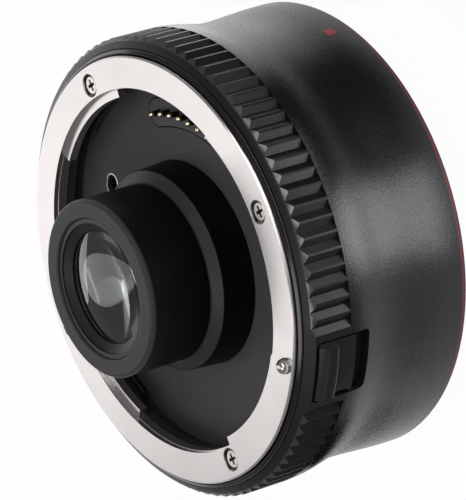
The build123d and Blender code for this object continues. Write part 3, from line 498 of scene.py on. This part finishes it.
def smooth_skin(
    name, dark, pale, rough_low, rough_high, grain_mm, depth_mm, gloss, edge="", painted_light_level=0.0,
):
    """A skin between two shades, with a paler painted light above a level in millimetres if named.
    """
    material, tree = new_finish(name)
    place = add_node(tree, "ShaderNodeTexCoord")
    grain = add_node(
        tree, "ShaderNodeTexNoise",
        {"Scale": 1 / (grain_mm * MM), "Detail": 2.0, "Roughness": 0.55},
        {"Vector": place.outputs["Object"]},
    )
    cloud = add_node(
        tree, "ShaderNodeTexNoise", {"Scale": 1 / skin_cloud_size, "Detail": 1.0},
        {"Vector": place.outputs["Object"]},
    )
    shade = add_node(
        tree, "ShaderNodeMix", {colour_a: linear(dark), colour_b: linear(pale)},
        {"Factor": cloud.outputs["Fac"]}, data_type="RGBA",
    )
    # Above the named level the colour is painted paler, as light on the front faces.
    if edge:
        height = add_node(tree, "ShaderNodeSeparateXYZ", links={0: place.outputs["Object"]})
        above = add_node(
            tree, "ShaderNodeMapRange",
            {
                "From Min": (painted_light_level - painted_light_fade_mm) * MM, "From Max": painted_light_level * MM,
                "To Min": 0.0, "To Max": 1.0,
            },
            {"Value": height.outputs["Z"]},
        )
        shade = add_node(
            tree, "ShaderNodeMix", {colour_b: linear(edge)},
            {"Factor": above.outputs[0], colour_a: shade.outputs[mixed_colour]},
            data_type="RGBA",
        )
    rough = add_node(
        tree, "ShaderNodeMapRange",
        {
            "From Min": noise_low, "From Max": noise_high,
            "To Min": rough_low, "To Max": rough_high,
        },
        {"Value": grain.outputs["Fac"]},
    )
    relief = add_node(
        tree, "ShaderNodeBump", {"Strength": 0.5, "Distance": depth_mm * MM},
        {"Height": grain.outputs["Fac"]},
    )
    skin = add_node(
        tree, "ShaderNodeBsdfPrincipled", {"IOR": 1.5, "Specular IOR Level": gloss},
        {
            "Base Color": shade.outputs[mixed_colour], "Roughness": rough.outputs[0],
            "Normal": relief.outputs[0],
        },
    )
    add_node(tree, "ShaderNodeOutputMaterial", links={"Surface": skin.outputs[0]})
    print(name, "grain of", grain_mm, "mm")
    return material


# %% Blacks of the nose, the well and the grip
# The nose: near black sides with a faint satin, and painted light in grey on its turned lip.
nose_anodised = smooth_skin(
    "nose_black_anodised", "070707", "0b0b0b", 0.40, 0.48, 0.3, 0.004, 0.15, "39393a", 42.8,
)
# The collar: the deepest black, with painted light in grey on its shoulder.
collar_anodised = smooth_skin(
    "collar_black_anodised", "040404", "070707", 0.38, 0.46, 0.3, 0.004, 0.2, "303031", 31.5,
)
# Tubes, rings and spacers inside: an even dull black.
inner_black = smooth_skin("inner_black_anodised", "0a0a0a", "0e0e0e", 0.45, 0.55, 0.3, 0.004, 0.3)
# The ring round the glass: a little paler than the nose, so that its steps show.
glass_ring_black = smooth_skin(
    "glass_ring_black_anodised", "161616", "1d1d1d", 0.36, 0.44, 0.3, 0.004, 0.3,
)
# The floor of the well: matt paint, an even dark grey without a mirror in it.
well_paint = smooth_skin("well_matt_paint", "3c3c3c", "434343", 0.62, 0.75, 0.4, 0.010, 0.3)
# The trim ring: polished, with one sharp thin line of light.
trim_polish = smooth_skin(
    "trim_polished_anodised", "060606", "0a0a0a", 0.14, 0.20, 0.8, 0.001, 0.5,
)
# The lever: moulded, with a grain that breaks up a broad sheen.
lever_plastic = smooth_skin("lever_moulded_abs", "131314", "19191a", 0.28, 0.36, 0.3, 0.020, 0.5)

# %% Plastic, casting, rubber, red line and boards
# The contact block: plain plastic, as dull as the paint around it.
block_plastic = smooth_skin("contact_block_pbt", "333333", "3b3b3b", 0.50, 0.60, 0.3, 0.006, 0.4)
# The chassis: rough and grey, as cast metal stays under a blackening.
cast_alloy = smooth_skin(
    "chassis_blackened_casting", "262627", "303031", 0.55, 0.70, 0.5, 0.030, 0.3,
)
# The seal: soft rubber with hardly a sheen.
seal_rubber = smooth_skin("seal_silicone_rubber", "161616", "1c1c1c", 0.60, 0.72, 0.4, 0.006, 0.4)
# The chips and the block toward the camera: smooth dull resin.
chip_epoxy = smooth_skin("chip_black_epoxy", "141414", "1b1b1b", 0.50, 0.60, 0.3, 0.004, 0.5)
# The accent ring: a thin dull red line with a satin.
red_line = smooth_skin("accent_red_anodised", "5c2226", "662a2e", 0.30, 0.38, 0.3, 0.003, 0.4)
# The boards: green lacquer with a gloss.
board_mask = smooth_skin(
    "board_green_solder_mask", "0f4a2a", "135733", 0.28, 0.36, 0.5, 0.004, 0.5,
)
# The flat cables: amber film, glossy and even.
flex_film = smooth_skin("flex_polyimide_film", "8a5018", "9c5e20", 0.22, 0.30, 0.5, 0.003, 0.5)

# %% [markdown]
# ## Coated glass
#
# The elements are optical glass with an anti-reflection coat on both faces. The coat takes most of
# the mirror away, so the eye looks into a dark tube and only sees faint mirrors of the lamps, one
# behind the other. A glass shader with a lowered specular level does that, and very faint dust in
# the roughness breaks up the mirrors. The dust lies in patches of about 2 mm.

# %% Glass
dust_patch = 2 * MM
dust_low, dust_high = 0.35, 0.75
most_haze = 0.006
coated_glass, tree = new_finish("coated_optical_glass")
place = add_node(tree, "ShaderNodeTexCoord")
dust = add_node(
    tree, "ShaderNodeTexNoise", {"Scale": 1 / dust_patch, "Detail": 3.0, "Roughness": 0.6},
    {"Vector": place.outputs["Object"]},
)
haze = add_node(
    tree, "ShaderNodeMapRange",
    {"From Min": dust_low, "From Max": dust_high, "To Min": 0.0, "To Max": most_haze},
    {"Value": dust.outputs["Fac"]},
)
glass_skin = add_node(
    tree, "ShaderNodeBsdfPrincipled",
    {
        "Base Color": linear("a4a8a7"), "IOR": 1.6, "Specular IOR Level": 0.3,
        "Transmission Weight": 1.0,
    },
    {"Roughness": haze.outputs[0]},
)
add_node(tree, "ShaderNodeOutputMaterial", links={"Surface": glass_skin.outputs[0]})
print("glass haze up to", most_haze)

# %% [markdown]
# ## Dress the CAD nodes
#
# Most solids already have their real shape, so they keep it and only get a finish. A table says
# which finish goes with which node, and a loop puts it in the node's material slot.

# %% Finishes of the nodes
finish_of = {
    "outer_barrel": barrel_coat, "grip_ring": grip_coat, "front_trim_ring": trim_polish,
    "red_accent_ring": red_line, "lens_bayonet_ring": satin_chrome,
    "rear_bayonet_ring": satin_chrome, "lens_mount_screws": screw_nickel,
    "rear_mount_screws": nickel_steel, "lock_pin": polished_steel,
    "release_knob": lever_plastic, "release_carriage": lever_plastic,
    "release_screws": nickel_steel, "release_springs": spring_steel,
    "guide_rods": spring_steel, "bayonet_leaf_springs": spring_steel,
    "mount_shim": spring_steel, "barrel_screws": nickel_steel, "inner_chassis": cast_alloy,
    "front_baffle": well_paint, "rear_baffle": well_paint, "baffle_bush": bush_nickel,
    "front_contact_block": block_plastic, "rear_contact_block": chip_epoxy,
    "rear_contact_pads": pad_gold, "rear_contact_screws": nickel_steel,
    "front_contact_board": board_mask, "main_circuit_board": board_mask,
    "board_chips": chip_epoxy, "board_screws": nickel_steel, "front_flex_cable": flex_film,
    "rear_flex_cable": flex_film, "nose_collar": collar_anodised, "nose_tube": nose_anodised,
    "front_retaining_ring": glass_ring_black, "rear_retaining_ring": inner_black,
    "rear_cell": inner_black, "rear_base_ring": inner_black, "rear_weather_seal": seal_rubber,
}
finish_of.update({name: inner_black for name in nodes if name.endswith("spacer")})
finish_of.update({name: coated_glass for name in nodes if name.endswith("element")})
finish_of.update({name: gold_plate for name in nodes if name.startswith("contact_pin")})
for name, finish in finish_of.items():
    slots = nodes[name].data.materials
    slots.clear()
    slots.append(finish)
print(len(finish_of), "of", len(nodes), "nodes dressed")

# %% [markdown]
# ## Softened edges
#
# No real edge is perfectly sharp, and a black piece is drawn mostly by the thin highlight along its
# edges. The solids have sharp corners where the CAD left them, so the pieces that show most are
# copied, their loose triangles are joined, and a narrow bevel rounds every corner. The copy then
# stands for the node.

# %% Copies with joined triangles
merge_distance = 0.002 * MM
flat_angle = math.radians(0.5)


def merged_copy(node, name):
    """A copy of a node with its triangles joined, which takes the node's place and slot."""
    mesh = nodes[node].data.copy()
    mesh.name = name
    shape = bmesh.new()
    shape.from_mesh(mesh)
    bmesh.ops.remove_doubles(shape, verts=shape.verts, dist=merge_distance)
    bmesh.ops.dissolve_limit(
        shape, angle_limit=flat_angle, verts=shape.verts, edges=shape.edges, delimit={"NORMAL"},
    )
    for face in shape.faces:
        face.smooth = True
    shape.to_mesh(mesh)
    shape.free()
    # The normals that came with the loose triangles don't fit the joined faces.
    if "custom_normal" in mesh.attributes:
        mesh.attributes.remove(mesh.attributes["custom_normal"])
    piece = bpy.data.objects.new(name, mesh)
    bpy.context.scene.collection.objects.link(piece)
    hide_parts(node)
    print(name, "has", len(mesh.polygons), "faces")
    return piece


# %% Copies with bevelled edges
corner_angle = math.radians(30)
# The node, the name of its copy, the bevel's width in millimetres and its segments.
softened = (
    ("grip_ring", "grip_band", 0.08, 2),
    ("lens_bayonet_ring", "bright_ring", 0.12, 3),
    ("lens_mount_screws", "ring_screws", 0.04, 2),
    ("front_trim_ring", "trim_band", 0.12, 3),
    ("release_knob", "lever", 0.18, 3),
    ("nose_collar", "collar", 0.12, 3),
    ("front_retaining_ring", "glass_ring", 0.06, 2),
    ("rear_bayonet_ring", "rear_ring", 0.08, 2),
    ("rear_mount_screws", "rear_screws", 0.04, 2),
)
softened_pieces = {}
for node, name, width_mm, segments in softened:
    piece = merged_copy(node, name)
    bevel = piece.modifiers.new("soft_edges", "BEVEL")
    bevel.limit_method = "ANGLE"
    bevel.angle_limit = corner_angle
    bevel.width = width_mm * MM
    bevel.segments = segments
    bevel.use_clamp_overlap = True
    bevel.harden_normals = True
    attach(piece, nodes[node]["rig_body"])
    softened_pieces[name] = piece
grip_band = softened_pieces["grip_band"]
print(len(softened_pieces), "pieces with softened edges")

# %% [markdown]
# ## Springs that shorten
#
# Two return springs stand between the chassis and the slide that carries the lever. They get
# shorter when the lever is pulled back. Their copy has its triangles joined and stands where the
# solid stood.

# %% Return springs between the chassis and the slide
springs = merged_copy("release_springs", "return_springs")
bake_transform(springs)

# %% [markdown]
# ## The front glass
#
# The front element bulges more than the solid shows and its rim sits a little deeper, so it carries
# long crescents where a lamp is mirrored near the rim. The ground edge keeps a narrow bevel. A half
# profile of the lens is spun about the axis. Both faces are spheres, given by their radius and
# their height over the rim.

# %% Rim of the front element
rim_tolerance = 0.1 * MM
lens_points = [vert.co for vert in nodes["front_element"].data.vertices]
lens_edge = max(point.xy.length for point in lens_points)
rim_levels = [point.z for point in lens_points if point.xy.length > lens_edge - rim_tolerance]
rim_top, rim_foot = max(rim_levels), min(rim_levels)
print("front element: radius", round(lens_edge / MM, 2), "mm")
print("its rim from", round(rim_foot / MM, 2), "to", round(rim_top / MM, 2), "mm")

# %% Half profile of the front glass
front_ball = 34 * MM
back_ball = 60 * MM
rim_level = rim_top - 0.5 * MM
rim_bevel = 0.25 * MM
face_edge = lens_edge - rim_bevel
face_steps = 24


def sphere_height(radius, ball, edge):
    """Height of a sphere over its level at the edge radius."""
    return math.sqrt(ball ** 2 - radius ** 2) - math.sqrt(ball ** 2 - edge ** 2)


radii = [face_edge * step / face_steps for step in range(face_steps + 1)]
profile = [(radius, rim_level + sphere_height(radius, front_ball, face_edge)) for radius in radii]
profile += [(lens_edge, rim_level - rim_bevel), (lens_edge, rim_foot)]
radii.reverse()
profile += [(radius, rim_foot - sphere_height(radius, back_ball, face_edge)) for radius in radii]
print(len(profile), "points in the half profile")

# %% Spun front glass
spin_steps = 96
spin_merge_distance = 0.001 * MM
rim_corner_angle = math.radians(30)
shape = bmesh.new()
line = [shape.verts.new((radius, 0, level)) for radius, level in profile]
edges = [shape.edges.new(pair) for pair in zip(line, line[1:])]
bmesh.ops.spin(
    shape, geom=line + edges, cent=(0, 0, 0), axis=(0, 0, 1), angle=math.tau, steps=spin_steps,
    use_merge=True,
)
bmesh.ops.remove_doubles(shape, verts=shape.verts, dist=spin_merge_distance)
bmesh.ops.recalc_face_normals(shape, faces=shape.faces)
for face in shape.faces:
    face.smooth = True
lens_mesh = bpy.data.meshes.new("front_glass")
shape.to_mesh(lens_mesh)
shape.free()
lens_mesh.set_sharp_from_angle(angle=rim_corner_angle)
lens_mesh.materials.append(coated_glass)
front_glass = bpy.data.objects.new("front_glass", lens_mesh)
bpy.context.scene.collection.objects.link(front_glass)
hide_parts("front_element")
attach(front_glass, nodes["front_element"]["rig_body"])
glass_top = max(vert.co.z for vert in lens_mesh.vertices)
print("front glass rises to", round(glass_top / MM, 2), "mm")

# %% [markdown]
# ## Shallower grooves
#
# On the real grip the grooves are shallow and stop on the shoulder, which is a flat cone round the
# front of the band. In the copy of the grip, every point in a groove is moved outwards by the same
# share of its depth, and the points on the shoulder slide along its cone.

# %% Grooves of the grip band
cone_foot_radius, cone_foot_level = 34.89 * MM, 30.85 * MM
cone_fall = 0.9 / 1.75
cad_groove_depth = 1.1 * MM
groove_share = 0.6
groove_tolerance = 0.02 * MM
edge_tolerance = 0.01 * MM


def cone_level(radius):
    """Level of the shoulder's cone at a radius."""
    return cone_foot_level - (radius - cone_foot_radius) * cone_fall


def on_cone(point, tolerance):
    """Whether a point lies on the shoulder's cone."""
    return abs(point.z - cone_level(point.xy.length)) < tolerance


shape = bmesh.new()
shape.from_mesh(grip_band.data)
grip_edge = max(vert.co.xy.length for vert in shape.verts)
valley = grip_edge - cad_groove_depth
raised_valley = grip_edge - cad_groove_depth * groove_share
for vert in shape.verts:
    radius = vert.co.xy.length
    if valley - groove_tolerance < radius < grip_edge - edge_tolerance:
        slides = on_cone(vert.co, groove_tolerance)
        raised = grip_edge - (grip_edge - radius) * groove_share
        vert.co.xy = vert.co.xy * raised / radius
        if slides:
            vert.co.z = cone_level(raised)
print("groove depth", round((grip_edge - raised_valley) / MM, 2), "mm")

# %% [markdown]
# ## Bright rib noses
#
# Each rib ends on the shoulder in a small flat nose. The noses are steeper and smoother than the
# coat around them, so they catch the light as pale triangles. A level cut parts the noses from the
# shoulder, they take a finish of their own, and their outer corners are pulled back. The band is
# plain beside the lever and has no noses there.

# %% Noses of the grip band
# Coat rubbed smooth: a pale glint where a nose faces a lamp.
nose_polish = smooth_skin("rib_nose_polish", "1c1c1d", "232324", 0.22, 0.30, 0.3, 0.004, 1.0)
nose_pull = 0.45 * MM
lever_azimuth = math.radians(1.4)
plain_half_angle = math.radians(11.3)
cut_distance = 0.001 * MM
face_tolerance = 0.05 * MM
corner_tolerance = 0.03 * MM


def among_ribs(point):
    """Whether a point lies outside the plain stretch beside the lever."""
    return abs(math.atan2(point.y, point.x) - lever_azimuth) > plain_half_angle


bmesh.ops.bisect_plane(
    shape, geom=shape.verts[:] + shape.edges[:] + shape.faces[:], dist=cut_distance,
    plane_co=(0, 0, cone_level(raised_valley)), plane_no=(0, 0, 1),
)
noses = 0
for face in shape.faces:
    middle = face.calc_center_median()
    outside = middle.xy.length > raised_valley
    if outside and on_cone(middle, face_tolerance) and among_ribs(middle):
        face.material_index = 1
        noses += 1
for vert in shape.verts:
    outside = vert.co.xy.length > raised_valley
    if outside and on_cone(vert.co, corner_tolerance) and among_ribs(vert.co):
        share = (vert.co.xy.length - raised_valley) / (grip_edge - raised_valley)
        vert.co.z -= nose_pull * share
shape.to_mesh(grip_band.data)
shape.free()
grip_band.data.materials.append(nose_polish)
print(noses, "rib noses")

# %% [markdown]
# ## The index on the barrel
#
# A small red square is printed on the barrel near its rear edge. It shows which way round the mount
# goes on. Ink is a skin of a few hundredths of a millimetre, so the square is a fine grid laid on
# the barrel: each point of it is sent from outside towards the axis until it meets the barrel, and
# stops a hair above it. The grid then gets its thickness.

# %% Printed index square
patch_steps = 8
ink_lift = 0.02 * MM
ink_thickness = 0.03 * MM
index_azimuth, index_level_mm = 88.0, 4.5
index_width_mm, index_height_mm = 1.8, 1.8
# Printed ink: an even, rather bright red with a dull skin.
index_ink = smooth_skin("index_red_ink", "9a3038", "a63a42", 0.42, 0.52, 0.3, 0.004, 0.4)

barrel_mesh = nodes["outer_barrel"].data
barrel = BVHTree.FromPolygons(
    [vert.co for vert in barrel_mesh.vertices], [face.vertices for face in barrel_mesh.polygons],
)
shape = bmesh.new()
# A size of one half makes the grid one unit wide, so its points run from -0.5 to 0.5.
bmesh.ops.create_grid(shape, x_segments=patch_steps, y_segments=patch_steps, size=0.5)
for vert in shape.verts:
    turn = math.radians(index_azimuth) + vert.co.x * index_width_mm * MM / cad_high.x
    outward = Vector((math.cos(turn), math.sin(turn), 0))
    level = index_level_mm * MM + vert.co.y * index_height_mm * MM
    start = outward * 2 * cad_high.x + Vector((0, 0, level))
    met = barrel.ray_cast(start, -outward)[0]
    vert.co = met + outward * ink_lift
bmesh.ops.solidify(shape, geom=shape.faces[:], thickness=ink_thickness)
bmesh.ops.recalc_face_normals(shape, faces=shape.faces)
for face in shape.faces:
    face.smooth = True
index_mesh = bpy.data.meshes.new("index_square")
shape.to_mesh(index_mesh)
shape.free()
index_mesh.materials.append(index_ink)
index_square = bpy.data.objects.new("index_square", index_mesh)
bpy.context.scene.collection.objects.link(index_square)
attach(index_square, nodes["outer_barrel"]["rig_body"])
print("index square at", index_azimuth, "degrees and", index_level_mm, "mm")
